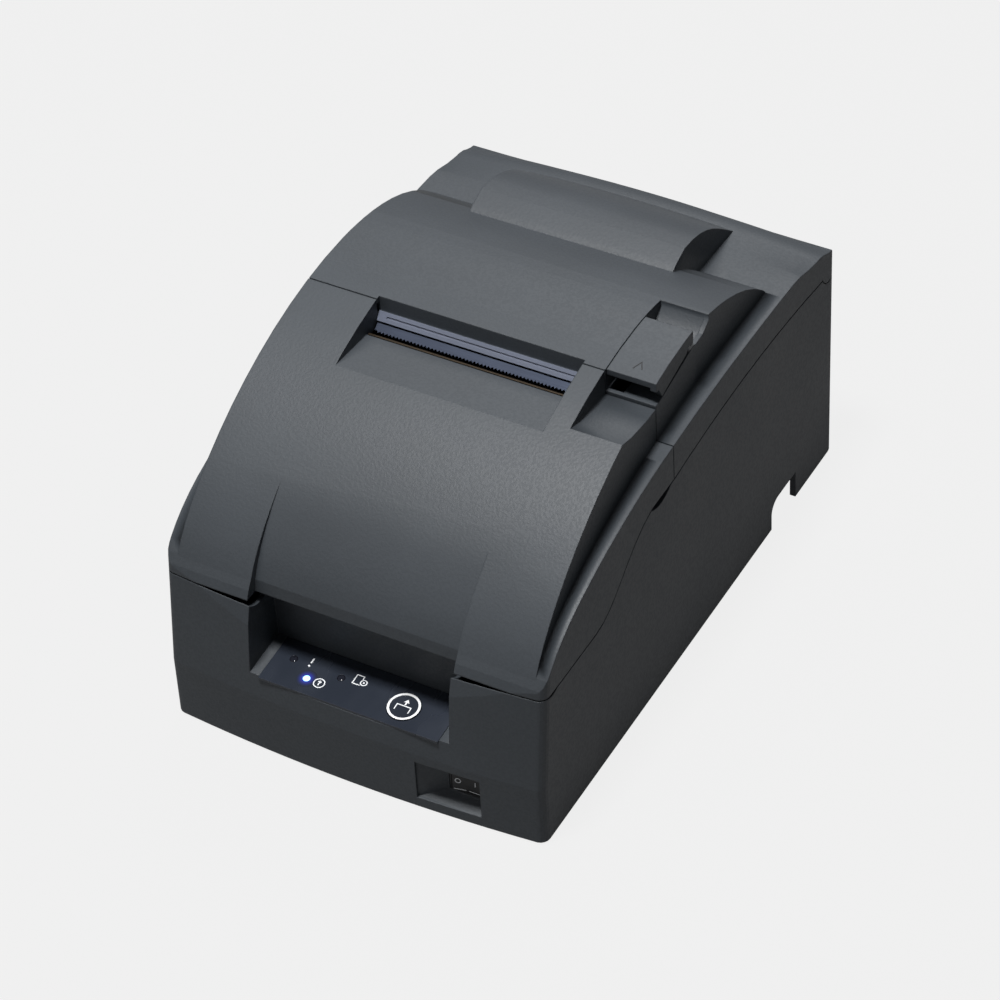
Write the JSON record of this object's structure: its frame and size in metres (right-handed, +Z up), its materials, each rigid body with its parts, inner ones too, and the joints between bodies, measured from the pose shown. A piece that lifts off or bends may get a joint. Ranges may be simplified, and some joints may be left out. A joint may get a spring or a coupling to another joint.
{
  "type": "receipt printer",
  "caption": "Impact dot matrix receipt printer with hinged front and rear covers, ribbon cassette, roll bin, paper cutter, feed button panel and power rocker",
  "frame": {"origin": "middle of the bounding box footprint, at the resting plane", "axes": "+X right when facing the front, +Y towards the back, +Z up, front faces -Y"},
  "size_m": [0.16, 0.252, 0.1385],
  "materials": {
    "case_plastic": "fine grained moulded",
    "dark_plastic": "moulded",
    "panel_black": "smooth overlay",
    "lamp_blue": "lit lens",
    "strip_grey": "moulded",
    "rubber": "matt",
    "steel": "ground",
    "sheet_steel": "zinc plated sheet",
    "blade_steel": "hardened",
    "bronze_metal": "dull",
    "head_alloy": "die cast",
    "brass": "turned",
    "gear_white": "moulded",
    "board_green": "solder resist",
    "ribbon_purple": "inked weave"
  },
  "bodies": {
    "case_body": {"lower_case": "case_plastic", "bottom_cover": "dark_plastic", "rubber_feet": "rubber", "control_panel": "panel_black", "panel_board": "board_green", "status_lamps": "lamp_blue", "power_switch_body": "dark_plastic", "front_hinge_pins": "steel", "rear_hinge_pins": "steel", "latch_studs": "steel", "paper_guide": "sheet_steel", "roll_bin": "dark_plastic", "near_end_sensor": "dark_plastic", "main_frame": "sheet_steel", "rear_guide_shaft": "steel", "front_guide_shaft": "steel", "carriage_belt": "rubber", "carriage_motor": "sheet_steel", "idler_post": "steel", "ribbon_cassette": "dark_plastic", "ribbon": "ribbon_purple", "spindle_bush": "brass", "feed_motor": "sheet_steel", "idler_stud": "steel", "cutter_frame": "sheet_steel", "cutter_edge": "bronze_metal", "cutter_motor": "sheet_steel", "main_board": "board_green", "connector_plate": "sheet_steel", "power_inlet": "dark_plastic", "drawer_jack": "dark_plastic", "interface_connector": "steel", "case_screws": "steel", "frame_screws": "steel"},
    "front_cover_body": {"front_cover": "case_plastic"},
    "rear_cover_body": {"rear_cover": "case_plastic", "guide_strip": "strip_grey", "tear_bar": "blade_steel", "fixed_blade": "blade_steel", "platen_frame": "sheet_steel", "platen": "rubber"},
    "lever_body": {"cover_lever": "case_plastic", "latch_shaft": "steel", "latch_hooks": "dark_plastic"},
    "feed_button_body": {"feed_button": "panel_black"},
    "rocker_body": {"power_rocker": "panel_black"},
    "carriage_body": {"carriage": "dark_plastic", "print_head": "head_alloy"},
    "motor_pulley_body": {"motor_pulley": "steel"},
    "idler_pulley_body": {"idler_pulley": "steel"},
    "ribbon_drive_body": {"ribbon_spindle": "steel", "ribbon_knob": "gear_white"},
    "pinion_body": {"feed_pinion": "brass"},
    "idler_gear_body": {"idler_gear": "gear_white"},
    "feed_roller_body": {"feed_roller": "rubber", "feed_roller_gear": "gear_white"},
    "pinch_body": {"pinch_rollers": "rubber"},
    "blade_body": {"moving_blade": "blade_steel"},
    "cutter_pinion_body": {"cutter_pinion": "gear_white"}
  },
  "joints": [
    {"name": "front_cover_hinge", "type": "hinge", "parent": "case_body", "child": "front_cover_body", "pos_m": [0, -0.1113, 0.0753], "axis": [1, 0, 0], "range_deg": [0, 70]},
    {"name": "rear_cover_hinge", "type": "hinge", "parent": "case_body", "child": "rear_cover_body", "pos_m": [0, 0.1204, 0.0965], "axis": [-1, 0, 0], "range_deg": [0, 75]},
    {"name": "lever_pivot", "type": "hinge", "parent": "rear_cover_body", "child": "lever_body", "pos_m": [0, 0.014, 0.1317], "axis": [-1, 0, 0], "range_deg": [0, 15], "stiffness_Nm_per_rad": 0.3},
    {"name": "feed_button_slide", "type": "slide", "parent": "case_body", "child": "feed_button_body", "axis": [0, 0.0958, -0.9954], "range_m": [0, 0.0008], "stiffness_N_per_m": 800},
    {"name": "power_rocker_tilt", "type": "hinge", "parent": "case_body", "child": "rocker_body", "pos_m": [0.046, -0.1155, 0.0145], "axis": [0, 0, -1], "range_deg": [0, 12]},
    {"name": "carriage_slide", "type": "slide", "parent": "case_body", "child": "carriage_body", "axis": [1, 0, 0], "range_m": [0, 0.066]},
    {"name": "motor_pulley_spin", "type": "hinge", "parent": "case_body", "child": "motor_pulley_body", "pos_m": [-0.048, -0.058, 0.049], "axis": [0, 0, 1], "range_deg": [0, 620]},
    {"name": "idler_pulley_spin", "type": "hinge", "parent": "case_body", "child": "idler_pulley_body", "pos_m": [0.048, -0.058, 0.049], "axis": [0, 0, 1], "range_deg": [0, 620]},
    {"name": "ribbon_knob_spin", "type": "hinge", "parent": "case_body", "child": "ribbon_drive_body", "pos_m": [0.0555, -0.072, 0.06], "axis": [0, 0, 1], "continuous": true},
    {"name": "idler_gear_spin", "type": "hinge", "parent": "case_body", "child": "idler_gear_body", "pos_m": [-0.0675, -0.02835, 0.07419], "axis": [1, 0, 0], "continuous": true},
    {"name": "feed_pinion_spin", "type": "hinge", "parent": "case_body", "child": "pinion_body", "pos_m": [-0.0675, -0.0219, 0.049], "axis": [1, 0, 0], "continuous": true},
    {"name": "feed_roller_spin", "type": "hinge", "parent": "case_body", "child": "feed_roller_body", "pos_m": [-0.0675, -0.0249, 0.106], "axis": [1, 0, 0], "continuous": true},
    {"name": "pinch_rollers_spin", "type": "hinge", "parent": "rear_cover_body", "child": "pinch_body", "pos_m": [0, -0.0134, 0.106], "axis": [1, 0, 0], "continuous": true},
    {"name": "cutter_slide", "type": "slide", "parent": "case_body", "child": "blade_body", "axis": [0, 1, 0], "range_m": [0, 0.007]},
    {"name": "cutter_pinion_spin", "type": "hinge", "parent": "case_body", "child": "cutter_pinion_body", "pos_m": [0.022, -0.0395, 0.11], "axis": [-1, 0, 0], "range_deg": [0, 95]}
  ],
  "couplings": [
    {"joint": "motor_pulley_spin", "follows": "carriage_slide", "rad_per_m": 149.25},
    {"joint": "idler_pulley_spin", "follows": "carriage_slide", "rad_per_m": 149.25},
    {"joint": "feed_pinion_spin", "follows": "idler_gear_spin", "ratio": -3.3333},
    {"joint": "feed_roller_spin", "follows": "idler_gear_spin", "ratio": -1.6667},
    {"joint": "pinch_rollers_spin", "follows": "idler_gear_spin", "ratio": 2},
    {"joint": "cutter_pinion_spin", "follows": "cutter_slide", "rad_per_m": 200}
  ]
}
